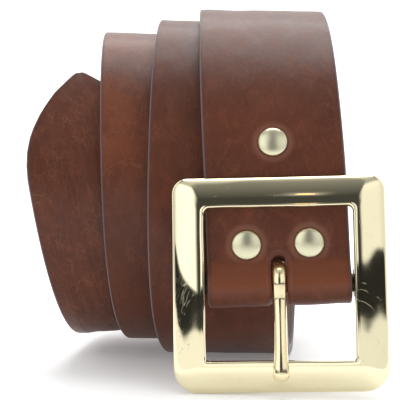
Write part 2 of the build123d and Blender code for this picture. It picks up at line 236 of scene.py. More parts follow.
# ---------------------------------------------------------------- mesh helpers
def new_object(name, verts, faces, materials, face_material=None, smooth=True, sharp=38, uvs=None):
    mesh = bpy.data.meshes.new(name)
    mesh.from_pydata((np.asarray(verts) * MM).tolist(), [], [list(map(int, f)) for f in faces])
    for m in materials:
        mesh.materials.append(m)
    if face_material is not None:
        mesh.polygons.foreach_set("material_index", np.asarray(face_material, np.int32))
    if smooth:
        mesh.polygons.foreach_set("use_smooth", np.ones(len(mesh.polygons), bool))
    for uv_name, values in (uvs or {}).items():
        layer = mesh.uv_layers.new(name=uv_name)
        layer.data.foreach_set("uv", np.asarray(values, np.float32).ravel())
    mesh.update()
    bm = bmesh.new()
    bm.from_mesh(mesh)
    bmesh.ops.recalc_face_normals(bm, faces=bm.faces)
    bm.to_mesh(mesh)
    bm.free()
    if smooth and sharp:
        mesh.set_sharp_from_angle(angle=math.radians(sharp))
    obj = bpy.data.objects.new(name, mesh)
    bpy.context.scene.collection.objects.link(obj)
    return obj


def rings(points, closed_u=False, closed_v=True, cap=True):
    """Faces for rings[i][j]. Rings are closed in j; closed_u joins the last ring to the first."""
    n, m = points.shape[:2]
    faces = []
    for i in range(n if closed_u else n - 1):
        k = (i + 1) % n
        for j in range(m if closed_v else m - 1):
            l = (j + 1) % m
            faces.append((i * m + j, i * m + l, k * m + l, k * m + j))
    if cap and not closed_u:
        faces.append(tuple(range(m))[::-1])
        faces.append(tuple((n - 1) * m + j for j in range(m)))
    return faces


def smooth_noise(x, y, seed):
    """Value noise on a lattice, from -1 to 1."""
    r = np.random.default_rng(seed).uniform(-1, 1, (512, 512))
    xi, yi = np.floor(x).astype(int), np.floor(y).astype(int)
    fx, fy = x - xi, y - yi
    fx, fy = fx * fx * (3 - 2 * fx), fy * fy * (3 - 2 * fy)
    g = lambda i, j: r[i % 512, j % 512]
    return (g(xi, yi) * (1 - fx) + g(xi + 1, yi) * fx) * (1 - fy) + (g(xi, yi + 1) * (1 - fx) + g(xi + 1, yi + 1) * fx) * fy


# ---------------------------------------------------------------- materials
def fold_route():
    """Middle line of the ply from the rear, round the bar, to the front: y and z at the bar, in mm."""
    mid, far = (T + GAP) / 2, FOLD_INNER + T / 2
    ease = [(9.2, mid), (7.6, mid + 0.12), (6.0, mid + 0.75), (4.4, mid + 1.75), (2.6, mid + 2.95), (0.9, mid + 3.65), (-FOLD_DROP, far)]
    arc = [(-FOLD_DROP - far * math.sin(math.radians(a)), far * math.cos(math.radians(a))) for a in range(20, 181, 20)]
    route = [(11.0, mid)] + ease + arc + [(y, -z) for y, z in reversed(ease)][1:] + [(11.0, -mid)]
    return np.array(route)[::-1]


def fold_length():
    return float(np.sum(np.linalg.norm(np.diff(fold_route(), axis=0), axis=1)))


class Nodes:
    def __init__(self, name):
        self.material = bpy.data.materials.new(name)
        self.material.use_nodes = True
        self.tree = self.material.node_tree
        self.tree.nodes.clear()
        self.out = self.tree.nodes.new("ShaderNodeOutputMaterial")
        self.bsdf = self.tree.nodes.new("ShaderNodeBsdfPrincipled")
        self.link(self.bsdf.outputs[0], self.out.inputs[0])

    def link(self, a, b):
        self.tree.links.new(a, b)

    def put(self, socket, value):
        if isinstance(value, bpy.types.NodeSocket):
            self.link(value, socket)
        else:
            socket.default_value = value

    def node(self, kind, **settings):
        n = self.tree.nodes.new(kind)
        for k, v in settings.items():
            setattr(n, k, v)
        return n

    def math(self, op, a, b=0.0, c=0.0, clamp=False):
        n = self.node("ShaderNodeMath", operation=op, use_clamp=clamp)
        for s, v in zip(n.inputs, (a, b, c)):
            self.put(s, v)
        return n.outputs[0]

    def ramp(self, x, a, b, lo=0.0, hi=1.0, smooth=True):
        n = self.node("ShaderNodeMapRange", interpolation_type="SMOOTHSTEP" if smooth else "LINEAR")
        n.clamp = True
        for s, v in zip(n.inputs, (x, a, b, lo, hi)):
            self.put(s, v)
        return n.outputs[0]

    def uv(self, name):
        return self.node("ShaderNodeUVMap", uv_map=name).outputs[0]

    def object_coords(self):
        return self.node("ShaderNodeTexCoord").outputs["Object"]

    def xyz(self, v):
        n = self.node("ShaderNodeSeparateXYZ")
        self.link(v, n.inputs[0])
        return n.outputs

    def mapped(self, v, scale=(1, 1, 1), turn=(0, 0, 0), move=(0, 0, 0)):
        n = self.node("ShaderNodeMapping")
        self.link(v, n.inputs["Vector"])
        n.inputs["Scale"].default_value = scale
        n.inputs["Rotation"].default_value = [math.radians(a) for a in turn]
        n.inputs["Location"].default_value = move
        return n.outputs[0]

    def noise(self, v, scale, detail=4.0, rough=0.55, distort=0.0):
        n = self.node("ShaderNodeTexNoise")
        self.link(v, n.inputs["Vector"])
        n.inputs["Scale"].default_value = scale
        n.inputs["Detail"].default_value = detail
        n.inputs["Roughness"].default_value = rough
        n.inputs["Distortion"].default_value = distort
        return n.outputs[0]

    def cells(self, v, scale, feature="F1", random=1.0):
        n = self.node("ShaderNodeTexVoronoi", feature=feature)
        self.link(v, n.inputs["Vector"])
        n.inputs["Scale"].default_value = scale
        n.inputs["Randomness"].default_value = random
        return n.outputs["Distance"]

    def mix(self, f, a, b, blend="MIX"):
        n = self.node("ShaderNodeMix", data_type="RGBA", blend_type=blend)
        self.put(n.inputs[0], f)
        for s, v in ((n.inputs[6], a), (n.inputs[7], b)):
            if isinstance(v, bpy.types.NodeSocket):
                self.link(v, s)
            else:
                s.default_value = (*v, 1.0)
        return n.outputs[2]

    def lines(self, v, turn, across, along, width, keep):
        """Thin broken scratches running at an angle: 1 on a scratch, 0 off it."""
        m = self.mapped(v, scale=(along, across, along), turn=(0, 0, turn), move=(turn * 0.37, turn * 0.11, turn * 0.53))
        n = self.noise(m, 1.0, detail=2.0, rough=0.6, distort=0.35)
        edge = self.math("ABSOLUTE", self.math("SUBTRACT", n, 0.5))
        line = self.ramp(edge, 0.0, width, 1.0, 0.0)
        mask = self.ramp(self.noise(self.mapped(v, move=(turn * 0.021, 0.3, 0.7)), along * 1.7, detail=3.0), keep, keep + 0.06)
        return self.math("MULTIPLY", line, mask)

    def bump(self, height, distance, strength=1.0, normal=None):
        n = self.node("ShaderNodeBump")
        n.inputs["Strength"].default_value = strength
        n.inputs["Distance"].default_value = distance
        self.put(n.inputs["Height"], height)
        if normal is not None:
            self.link(normal, n.inputs["Normal"])
        return n.outputs[0]

    def set(self, name, value):
        self.put(self.bsdf.inputs[name], value)


def leather():
    """The dressed grain face: mottled brown, pores and fine grain, scuffs, veins near the tip, darker worn-in edges,
    and painted highlights round the rivets, on the fold, on the slot's lip and along the edges.
    """
    g = Nodes("strap_grain")
    uv = g.uv("strap")
    u, v, _ = g.xyz(uv)
    depth, edge, _ = g.xyz(g.uv("profile"))
    broad = g.noise(g.mapped(uv, scale=(1.0, 1.6, 1)), 26.0, 5.0, 0.6, 0.4)
    cloud = g.noise(g.mapped(uv, scale=(1.0, 1.3, 1), move=(3, 5, 0)), 120.0, 5.0, 0.62, 0.6)
    fine = g.noise(uv, 900.0, 4.0, 0.6)
    col = g.mix(g.ramp(broad, 0.32, 0.70), BROWN_DARK, BROWN)
    col = g.mix(g.math("MULTIPLY", g.ramp(cloud, 0.46, 0.74), 0.55), col, BROWN_LIGHT)
    col = g.mix(g.math("MULTIPLY", g.ramp(fine, 0.35, 0.7), 0.30), col, BROWN_DARK)
    pores = g.ramp(g.cells(uv, 1500.0), 0.02, 0.34, 1.0, 0.0)
    col = g.mix(g.math("MULTIPLY", pores, 0.35), col, BROWN_DEEP)
    # veins and creases run along the strap near its tip, and faintly elsewhere
    tip = g.ramp(u, (TIP - 330) * MM, (TIP - 250) * MM)
    warped = g.mapped(uv, scale=(26.0, 170.0, 1.0))
    vein_noise = g.noise(warped, 1.0, 3.0, 0.5, 1.1)
    vein = g.ramp(g.math("ABSOLUTE", g.math("SUBTRACT", vein_noise, 0.5)), 0.0, 0.045, 1.0, 0.0)
    vein = g.math("MULTIPLY", vein, g.ramp(g.noise(uv, 60.0, 2.0), 0.42, 0.6))
    vein = g.math("MULTIPLY", vein, g.math("ADD", 0.22, g.math("MULTIPLY", tip, 0.78)))
    col = g.mix(g.math("MULTIPLY", vein, 0.20), col, BROWN_DARK)
    # scuffs: sets of hair-fine pale scratches, thicker on one stretch of the second turn
    jitter = g.node("ShaderNodeVectorMath", operation="MULTIPLY_ADD")
    wob = g.node("ShaderNodeTexNoise")
    g.link(uv, wob.inputs["Vector"])
    wob.inputs["Scale"].default_value = 210.0
    wob.inputs["Detail"].default_value = 3.0
    g.link(wob.outputs["Color"], jitter.inputs[0])
    jitter.inputs[1].default_value = (0.006, 0.006, 0.006)
    g.link(uv, jitter.inputs[2])
    web = g.ramp(g.cells(g.mapped(jitter.outputs[0], scale=(0.55, 1.0, 1.0), turn=(0, 0, 24)), 290.0, "DISTANCE_TO_EDGE"), 0.0, 0.050, 1.0, 0.0)
    web = g.math("MULTIPLY", web, g.ramp(g.noise(uv, 110.0, 4.0), 0.34, 0.70))
    hair_a = g.lines(uv, 62, 1500, 90, 0.018, 0.52)
    hair_b = g.lines(uv, -38, 1400, 110, 0.016, 0.54)
    scuff = g.math("ADD", web, g.math("ADD", hair_a, hair_b), clamp=True)
    worn = g.math("MULTIPLY", g.ramp(u, WORN[0], WORN[0] + 0.022), g.ramp(u, WORN[1], WORN[1] + 0.028, 1.0, 0.0))
    worn = g.math("MULTIPLY", worn, g.ramp(g.noise(uv, 38.0, 3.0), 0.30, 0.55))
    amount = g.math("ADD", 0.11, g.math("ADD", g.math("MULTIPLY", worn, 0.62), g.math("MULTIPLY", tip, 0.12)))
    col = g.mix(g.math("MULTIPLY", scuff, amount), col, BROWN_PALE)
    col = g.mix(g.math("MULTIPLY", worn, 0.80), col, BROWN_LIGHT)
    # painted highlight: a paler ring on the slopes where the leather is drawn in round each rivet
    rivet_painted_highlight = None
    for a, s in RIVETS.values():
        d = g.node("ShaderNodeVectorMath", operation="DISTANCE")
        g.link(uv, d.inputs[0])
        d.inputs[1].default_value = (s * MM, a * MM, 0)
        ring = g.math("MULTIPLY", g.ramp(d.outputs["Value"], 0.0050, 0.0058), g.ramp(d.outputs["Value"], 0.0060, 0.0085, 1.0, 0.0))
        rivet_painted_highlight = ring if rivet_painted_highlight is None else g.math("ADD", rivet_painted_highlight, ring)
    col = g.mix(g.math("MULTIPLY", rivet_painted_highlight, 0.28), col, BROWN_PALE)
    # painted highlight: the fold's front bulge is painted paler, as stretched leather also is; the slot's lip is rubbed
    # red-brown, with a painted highlight as a pale line outside it
    fold_painted_highlight_and_stretch = g.math("MULTIPLY", g.ramp(u, -0.0055, -0.0005), g.ramp(u, 0.0045, 0.0105, 1.0, 0.0))
    col = g.mix(g.math("MULTIPLY", fold_painted_highlight_and_stretch, g.math("ADD", 0.60, g.math("MULTIPLY", fine, 0.5))), col, BROWN_LIGHT)
    sx_ = g.math("SUBTRACT", g.math("ABSOLUTE", v), (SLOT_WIDTH / 2 - 2.4) * MM)
    top_, low_ = SLOT_TOP, 11.0 - FOLD_LENGTH - (SLOT_TOP - 11.0)
    sy_ = g.math("SUBTRACT", g.math("ABSOLUTE", g.math("SUBTRACT", u, (top_ + low_) / 2 * MM)), ((top_ - low_) / 2 - 2.4) * MM)
    far = g.math("SQRT", g.math("ADD", g.math("POWER", g.math("MAXIMUM", sx_, 0.0), 2.0), g.math("POWER", g.math("MAXIMUM", sy_, 0.0), 2.0)))
    far = g.math("SUBTRACT", far, 2.4 * MM)
    col = g.mix(g.math("MULTIPLY", g.ramp(far, 0.0004, 0.0016, 1.0, 0.0), 0.6), col, (0.125, 0.034, 0.021))
    # painted highlight: a pale line on the slot's rounded lip
    slot_lip_painted_highlight = g.math("MULTIPLY", g.ramp(far, 0.0009, 0.0013), g.ramp(far, 0.0014, 0.0021, 1.0, 0.0))
    col = g.mix(g.math("MULTIPLY", slot_lip_painted_highlight, 0.07), col, BROWN_PALE)
    # edges darken where the dye and wax gather
    rim = g.ramp(edge, 0.0003, 0.0022, 1.0, 0.0)
    col = g.mix(g.math("MULTIPLY", rim, 0.45), col, BROWN_DEEP)
    # painted highlight: a pale bluish-grey line along the rounded edge of the grain face stands in for the reflection
    # of the bright room; the same band is also made glossier
    bevel_painted_highlight = g.ramp(edge, 0.00035, 0.0009, 1.0, 0.0)
    col = g.mix(g.math("MULTIPLY", bevel_painted_highlight, 0.55), col, BEVEL_HIGHLIGHT_GREY)
    g.set("Base Color", col)
    rough = g.math("ADD", LEATHER_ROUGH, g.math("MULTIPLY", g.math("SUBTRACT", cloud, 0.5), 0.22))
    rough = g.math("ADD", rough, g.math("MULTIPLY", g.math("SUBTRACT", fine, 0.5), 0.10))
    rough = g.math("SUBTRACT", rough, g.math("MULTIPLY", bevel_painted_highlight, 0.12))
    g.set("Roughness", g.math("ADD", rough, g.math("MULTIPLY", scuff, 0.08)))
    g.set("Specular IOR Level", 0.17)
    g.set("Coat Weight", 0.23)
    g.set("Coat Roughness", 0.24)
    g.set("Coat IOR", 1.38)
    hair = g.cells(g.mapped(uv, scale=(1.0, 1.25, 1.0)), 1050.0, "SMOOTH_F1")
    height = g.math("ADD", g.math("MULTIPLY", hair, 0.55), g.math("MULTIPLY", fine, 0.55))
    height = g.math("SUBTRACT", height, g.math("MULTIPLY", pores, 0.25))
    height = g.math("SUBTRACT", height, g.math("MULTIPLY", scuff, 0.10))
    small = g.bump(height, 0.00011, 0.7)
    dips = g.math("ADD", g.math("MULTIPLY", g.noise(g.mapped(uv, scale=(0.6, 1.5, 1)), 90.0, 4.0, 0.55, 0.5), 1.0), g.math("MULTIPLY", vein, -0.22))
    ripple = g.noise(g.mapped(uv, scale=(14.0, 130.0, 1.0), move=(2, 9, 0)), 1.0, 3.0, 0.55, 0.9)
    dips = g.math("ADD", dips, g.math("MULTIPLY", g.math("MULTIPLY", ripple, tip), 1.9))
    g.set("Normal", g.bump(dips, 0.00055, 0.6, small))
    return g.material


def burnished_edge():
    g = Nodes("strap_edge")
    uv = g.uv("strap")
    depth, edge, _ = g.xyz(g.uv("profile"))
    n = g.noise(g.mapped(uv, scale=(1.0, 30.0, 1.0)), 420.0, 4.0, 0.6)
    layers = g.noise(g.mapped(g.uv("profile"), scale=(2600.0, 1.0, 1.0)), 1.0, 2.0)
    col = g.mix(g.ramp(n, 0.3, 0.75), (0.030, 0.017, 0.016), (0.062, 0.037, 0.036))
    col = g.mix(g.math("MULTIPLY", g.ramp(layers, 0.45, 0.7), 0.35), col, (0.085, 0.050, 0.046))
    g.set("Base Color", col)
    g.set("Roughness", g.math("ADD", 0.30, g.math("MULTIPLY", n, 0.22)))
    g.set("Specular IOR Level", 0.5)
    g.set("Normal", g.bump(g.math("ADD", n, g.math("MULTIPLY", layers, 0.5)), 0.00012, 0.6))
    return g.material


def flesh_side():
    g = Nodes("strap_flesh")
    uv = g.uv("strap")
    fibre = g.noise(g.mapped(uv, scale=(1.0, 2.2, 1.0), turn=(0, 0, 12)), 520.0, 6.0, 0.7, 1.4)
    patch = g.noise(uv, 70.0, 5.0, 0.6, 0.5)
    col = g.mix(g.ramp(patch, 0.3, 0.7), (0.085, 0.038, 0.025), (0.155, 0.078, 0.050))
    col = g.mix(g.math("MULTIPLY", g.ramp(fibre, 0.42, 0.70), 0.5), col, (0.235, 0.130, 0.085))
    g.set("Base Color", col)
    g.set("Roughness", g.math("ADD", 0.72, g.math("MULTIPLY", fibre, 0.2)))
    g.set("Specular IOR Level", 0.3)
    g.set("Sheen Weight", 0.25)
    g.set("Sheen Roughness", 0.6)
    g.set("Normal", g.bump(g.math("ADD", fibre, g.math("MULTIPLY", patch, 0.5)), 0.00022, 0.8))
    return g.material


def raw_cut():
    g = Nodes("strap_cut")
    c = g.object_coords()
    n = g.noise(c, 1800.0, 5.0, 0.7)
    big = g.noise(c, 300.0, 3.0)
    col = g.mix(g.ramp(n, 0.3, 0.7), (0.150, 0.055, 0.032), (0.330, 0.150, 0.085))
    col = g.mix(g.math("MULTIPLY", g.ramp(big, 0.4, 0.65), 0.5), col, (0.080, 0.030, 0.020))
    g.set("Base Color", col)
    g.set("Roughness", g.math("ADD", 0.62, g.math("MULTIPLY", n, 0.2)))
    g.set("Normal", g.bump(n, 0.00015, 0.8))
    return g.material


def brass(name, base, dark, rough, wave, scratch, pits, tint=0.18):
    """Polished cast brass: hand-finished waviness, fine scratches, a few casting pits, faint tarnish in patches."""
    g = Nodes(name)
    c = g.object_coords()
    patch = g.noise(c, 42.0, 4.0, 0.55, 0.5)
    haze = g.noise(c, 420.0, 5.0, 0.65)
    sc = g.math("ADD", g.lines(c, 48, 1500, 70, 0.012, 0.56), g.lines(c, -33, 1300, 90, 0.012, 0.58))
    sc = g.math("ADD", sc, g.lines(c, 9, 1700, 55, 0.010, 0.58), clamp=True)
    spots = g.ramp(g.cells(c, 95.0), 0.015, 0.045, 1.0, 0.0)
    spots = g.math("MULTIPLY", spots, g.ramp(g.noise(c, 60.0, 2.0), 0.52, 0.58))
    col = g.mix(g.math("MULTIPLY", g.ramp(patch, 0.45, 0.75), tint), base, dark)
    wear = g.ramp(g.node("ShaderNodeNewGeometry").outputs["Pointiness"], 0.50, 0.56)
    col = g.mix(g.math("MULTIPLY", wear, 0.35), col, tuple(min(1.0, b * 1.06 + 0.02) for b in base))
    col = g.mix(g.math("MULTIPLY", spots, 0.75 * pits), col, (0.10, 0.075, 0.045))
    g.set("Base Color", col)
    g.set("Metallic", 1.0)
    r = g.math("ADD", rough, g.math("MULTIPLY", g.math("SUBTRACT", haze, 0.40), 0.03))
    g.set("Roughness", g.math("ADD", r, g.math("MULTIPLY", sc, 0.10 * scratch), clamp=True))
    large = g.bump(g.noise(c, 60.0, 1.5, 0.4, 0.3), 0.00003 * wave, 0.5)
    fine = g.math("SUBTRACT", g.math("MULTIPLY", haze, 0.04), g.math("MULTIPLY", sc, 0.28 * scratch))
    fine = g.math("SUBTRACT", fine, g.math("MULTIPLY", spots, 2.5 * pits))
    g.set("Normal", g.bump(fine, 0.00003, 0.5, large))
    return g.material


FOLD_LENGTH = fold_length()
WORN = tuple(float(np.interp(a, _turns, _along)) * MM for a in (712, 788))
BROWN = (0.1031, 0.0284, 0.0124)
BROWN_DARK = (0.0761, 0.0203, 0.0096)
BROWN_DEEP = (0.052, 0.0175, 0.0125)
BROWN_LIGHT = (0.1565, 0.0441, 0.0177)
BROWN_PALE = (0.2992, 0.1377, 0.0883)
# painted highlight colour for the line along the grain face's rounded edges
BEVEL_HIGHLIGHT_GREY = (0.145, 0.120, 0.130)
LEATHER_ROUGH = 0.46

GRAIN, EDGE, FLESH, CUT = leather(), burnished_edge(), flesh_side(), raw_cut()
FRAME_BRASS = brass("buckle_brass_polished", (0.82, 0.750, 0.515), (0.70, 0.615, 0.385), 0.030, 1.0, 0.55, 1.0)
# painted shade: the centre bar and its lugs get near-black brass, standing in for the shade they sit in behind the
# frame
BAR_PAINTED_SHADE_BRASS = brass("buckle_bar_painted_shade", (0.060, 0.052, 0.045), (0.030, 0.026, 0.024), 0.46, 1.0, 0.6, 1.0)
PRONG_BRASS = brass("prong_brass_polished", (0.84, 0.73, 0.47), (0.62, 0.50, 0.29), 0.10, 0.6, 0.8, 0.6)
CAP_BRASS = brass("rivet_brass_satin", (0.63, 0.61, 0.43), (0.50, 0.475, 0.32), 0.29, 0.2, 0.12, 0.2)
STEM_BRASS = brass("rivet_brass_dull", (0.62, 0.56, 0.38), (0.40, 0.34, 0.22), 0.38, 0.2, 0.5, 0.3)

# ---------------------------------------------------------------- the strap, one piece from flap to tip
H = STRAP_WIDTH / 2
EDGE_R, BACK_R = 0.95, 0.6
middle = fold_route()
run = np.append(0, np.cumsum(np.linalg.norm(np.diff(middle, axis=0), axis=1)))
fold_y, fold_z = natural_spline(run, middle[:, 0]), natural_spline(run, middle[:, 1])
FOLD_RUN = run[-1]

stations = []                                       # place along the strap, grain point, width direction, normal, thickness, half width


def add(q, p, w, n, thick, half):
    stations.append((q, p, w, n, thick, half))


for s in np.append(np.arange(FLAP_LENGTH, 11.0, -1.2), [])[:]:
    p, t, w, n = (v[0] for v in station(s))
    th = T if s <= SKIVE_START else T + (SKIVE_END - T) * (s - SKIVE_START) / (FLAP_LENGTH - SKIVE_START)
    add(11.0 - FOLD_RUN - (s - 11.0), p - n * (T + GAP + th), w, -n, th, H)
for r in np.arange(0.0, FOLD_RUN, 0.42):
    y, z = float(fold_y(r)), float(fold_z(r))
    dy, dz = float(fold_y(r + 0.01) - fold_y(r - 0.01)), float(fold_z(r + 0.01) - fold_z(r - 0.01))
    l = math.hypot(dy, dz)
    ny, nz = -dz / l, dy / l
    n = EY * ny + EZ * nz
    add(11.0 - FOLD_RUN + r, bar_frame(0, y, z, False) + n * T / 2, EX, n, T, H)
for s in np.concatenate([np.arange(11.0, 62.0, 0.8), np.arange(62.0, TIP - 46.0, 1.7), np.arange(TIP - 46.0, TIP - 1.2, 0.9),
                         TIP - np.array([1.2, 0.9, 0.62, 0.38, 0.2, 0.08, 0.0])]):
    p, t, w, n = (v[0] for v in station(s))
    add(s, p, w, n, T, float(half_width(TIP - s)))

Q = np.array([s[0] for s in stations])
P = np.array([s[1] for s in stations])
W = unit(np.array([s[2] for s in stations]))
N = unit(np.array([s[3] for s in stations]))
TH = np.array([s[4] for s in stations])
HW = np.array([s[5] for s in stations])

# one section: (share of the inner half width, extra sideways, depth share or depth) round the strap
fine_a = np.concatenate([np.linspace(-1, -0.21, 19), np.linspace(-0.19, 0.19, 23), np.linspace(0.21, 1, 19)])
section = []                                        # (inner share, radius share, kind, angle or depth), and its material
for a in fine_a:
    section.append((a, 0.0, 0.0, "g"))
for k in range(1, 6):
    f = math.radians(90 * k / 5)
    section.append((1.0, EDGE_R * math.sin(f), EDGE_R * (1 - math.cos(f)), "g" if k < 5 else "e"))
for k in (0.35, 0.7):
    section.append((1.0, EDGE_R + 0.05 * math.sin(math.pi * k), ("mix", k), "e"))
for k in range(0, 4):
    f = math.radians(90 * k / 3)
    section.append((1.0, EDGE_R - BACK_R * (1 - math.cos(f)), ("back", BACK_R * (1 - math.sin(f))), "e"))
for a in np.linspace(0.96, -0.96, 25):
    section.append((a, 0.0, ("back", 0.0), "f"))
for k in range(3, -1, -1):
    f = math.radians(90 * k / 3)
    section.append((-1.0, -(EDGE_R - BACK_R * (1 - math.cos(f))), ("back", BACK_R * (1 - math.sin(f))), "e" if k < 3 else "f"))
for k in (0.7, 0.35):
    section.append((-1.0, -(EDGE_R + 0.05 * math.sin(math.pi * k)), ("mix", k), "e"))
for k in range(5, 0, -1):
    f = math.radians(90 * k / 5)
    section.append((-1.0, -EDGE_R * math.sin(f), EDGE_R * (1 - math.cos(f)), "e" if k == 5 else "g"))

M = len(section)
NS = len(Q)
A = np.zeros((NS, M))
B = np.zeros((NS, M))
for j, (share, side, depth, _) in enumerate(section):
    A[:, j] = share * np.maximum(HW - EDGE_R, 0.15) + side * np.minimum(1.0, HW / 1.3)
    if isinstance(depth, tuple):
        kind, value = depth
        B[:, j] = TH - value if kind == "back" else EDGE_R + (TH - BACK_R - EDGE_R) * value
    else:
        B[:, j] = depth

# the tip's end is rounded over as its sides are
d = TIP - Q
over = np.where(d < EDGE_R, EDGE_R - np.sqrt(np.maximum(EDGE_R ** 2 - (EDGE_R - d) ** 2, 0)), 0)
B = np.maximum(B, over[:, None] * 0.9)
B = np.minimum(B, (TH - over * 0.7)[:, None])

face_on = np.array([k[3] == "g" for k in section])
near = np.clip((HW[:, None] - np.abs(A)) / 3.0, 0, 1)
wave = 0.16 * smooth_noise(Q[:, None] / 17 + 40, A / 11 + 60, 3) + 0.05 * smooth_noise(Q[:, None] / 6 + 90, A / 5 + 20, 4)
tip_zone = np.clip((Q - (TIP - 300)) / 80, 0, 1)[:, None]
wave = wave + tip_zone * (0.12 * smooth_noise(Q[:, None] / 20 + 10, A / 4.2 + 33, 5) + 0.09 * smooth_noise(Q[:, None] / 30 + 70, A / 2.4 + 13, 6))
lift = wave * near * face_on
# under the rivet caps and round the slot the grain is drawn in
for a, s in RIVETS.values():
    for q0 in (s, 11.0 - FOLD_RUN - (s - 11.0)):
        r = np.hypot(Q[:, None] - q0, A - a)
        lift -= face_on * 0.34 * np.where(r < 4.9, 1.0, np.exp(-np.clip((r - 4.9) / 1.7, 0, None) ** 2)) * (r < 12)


def slot_distance(q, a):
    """How far a point on the strap is from the slot's outline, in mm."""
    half, corner = SLOT_WIDTH / 2, 2.6
    top, bottom = SLOT_TOP, 11.0 - FOLD_RUN - (SLOT_TOP - 11.0)
    cy, hy = (top + bottom) / 2, (top - bottom) / 2
    qx, qy = np.abs(a) - half + corner, np.abs(q - cy) - hy + corner
    return np.hypot(np.maximum(qx, 0), np.maximum(qy, 0)) + np.minimum(np.maximum(qx, qy), 0) - corner


sd = slot_distance(Q[:, None] + 0 * A, A)
lift -= face_on * 0.95 * np.clip(1 - np.clip(sd, 0, None) / 1.7, 0, 1) ** 2
B = B - lift

VERTS = P[:, None, :] + A[..., None] * W[:, None, :] - B[..., None] * N[:, None, :]
coil_part = Q > 70
low = coil_part[:, None] & (VERTS[..., 2] < 0)
VERTS[..., 2] = np.where(low, 0.0, VERTS[..., 2])
strap_faces = rings(VERTS)
kinds = {"g": 0, "e": 1, "f": 2}
face_mat = []
for i in range(NS - 1):
    for j in range(M):
        face_mat.append(kinds[section[j][3]])
face_mat += [1, 1]
UVS = np.stack([np.repeat(Q[:, None], M, 1) * MM, A * MM], -1).reshape(-1, 2)
PROF = np.stack([B * MM, np.maximum(HW[:, None] - np.abs(A), 0) * MM], -1).reshape(-1, 2)
loops = np.concatenate([np.array(f) for f in strap_faces]).astype(int)
strap = new_object("strap", VERTS.reshape(-1, 3), strap_faces, [GRAIN, EDGE, FLESH, CUT], face_mat, uvs={"strap": UVS[loops], "profile": PROF[loops]}, sharp=None)

cutters = []
half, corner = SLOT_WIDTH / 2, 2.6
outline = [(half, -16.0)]
for k in range(0, 9):
    f = math.radians(90 * k / 8)
    outline.append((half - corner + corner * math.cos(f), SLOT_TOP - corner + corner * math.sin(f)))
outline += [(-x, y) for x, y in reversed(outline[1:])] + [(-half, -16.0)]
outline = np.array(outline)
levels = np.array([-13.0, 13.0])
pts = np.stack([bar_frame(outline[:, 0], outline[:, 1], z, False) for z in levels])
slot_cut = new_object("slot_cut", pts.reshape(-1, 3), rings(pts), [GRAIN, EDGE, FLESH, CUT], None, smooth=False)
cutters.append(slot_cut)
for i in range(HOLES):
    p, t, w, n = (v[0] for v in station(TIP - FIRST - PITCH * i))
    f = np.radians(np.arange(0, 360, 11.25))
    circle = (np.cos(f)[:, None] * w + np.sin(f)[:, None] * np.cross(n, w)) * HOLE / 2
    pts = np.stack([p + n * 2.0 + circle, p - n * (T + 2.0) + circle])
    cutters.append(new_object(f"hole_cut_{i}", pts.reshape(-1, 3), rings(pts), [GRAIN, EDGE, FLESH, CUT], None, smooth=False))
for c in cutters:
    c.data.polygons.foreach_set("material_index", np.full(len(c.data.polygons), 3, np.int32))
    for uv_name in ("strap", "profile"):
        if uv_name not in c.data.uv_layers:
            c.data.uv_layers.new(name=uv_name)
    m = strap.modifiers.new(c.name, "BOOLEAN")
    m.operation, m.solver, m.object = "DIFFERENCE", "EXACT", c
graph = bpy.context.evaluated_depsgraph_get()
cut_mesh = bpy.data.meshes.new_from_object(strap.evaluated_get(graph), preserve_all_data_layers=True, depsgraph=graph)
strap.modifiers.clear()
strap.data = cut_mesh
for c in cutters:
    bpy.data.objects.remove(c)
mesh = strap.data
mesh.polygons.foreach_set("use_smooth", np.ones(len(mesh.polygons), bool))
mesh.set_sharp_from_angle(angle=math.radians(42))
print("strap", len(mesh.vertices), "vertices", [sum(1 for p in mesh.polygons if p.material_index == k) for k in range(4)])

p0, _, _, _ = (v[0] for v in station(84.0))
p1, _, _, _ = (v[0] for v in station(58.0))
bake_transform(strap, "coil", "buckle_end", start=tuple(p0 * MM), end=tuple(p1 * MM))
# the weight follows the leather's own length, so that the inner turns stay with the coil
nl = len(mesh.loops)
vi = np.zeros(nl, np.int32)
mesh.loops.foreach_get("vertex_index", vi)
uvd = np.zeros(nl * 2, np.float32)
mesh.uv_layers["strap"].data.foreach_get("uv", uvd)
mi = np.zeros(len(mesh.polygons), np.int32)
mesh.polygons.foreach_get("material_index", mi)
total = np.zeros(len(mesh.polygons), np.int32)
mesh.polygons.foreach_get("loop_total", total)
loop_mat = np.repeat(mi, total)
place = np.full(len(mesh.vertices), -1e9)
good = loop_mat != 3
np.maximum.at(place, vi[good], uvd.reshape(-1, 2)[good, 0])
co = np.zeros(len(mesh.vertices) * 3, np.float32)
mesh.vertices.foreach_get("co", co)
unknown = place < -1e8
unknown[vi[~good]] = True                           # the slot's and the holes' walls take the place of the nearest point of the uncut strap
from mathutils.kdtree import KDTree

uncut = VERTS.reshape(-1, 3) * MM
place_uncut = np.repeat(Q, M) * MM
tree = KDTree(len(uncut))
for i, v in enumerate(uncut):
    tree.insert(v, i)
tree.balance()
for i in np.nonzero(unknown)[0]:
    place[i] = place_uncut[tree.find(co[3 * i:3 * i + 3])[1]]
weight = np.clip((84.0 - place * 1000) / 26.0, 0, 1)
weight = (weight * weight * (3 - 2 * weight)).astype(np.float32)
mesh.attributes["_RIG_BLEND"].data.foreach_set("value", weight)
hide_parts("strap_coil_1", "strap_coil_2", "strap_coil_3", "strap_coil_4", "strap_coil_5", "strap_coil_6", "strap_buckle_end")


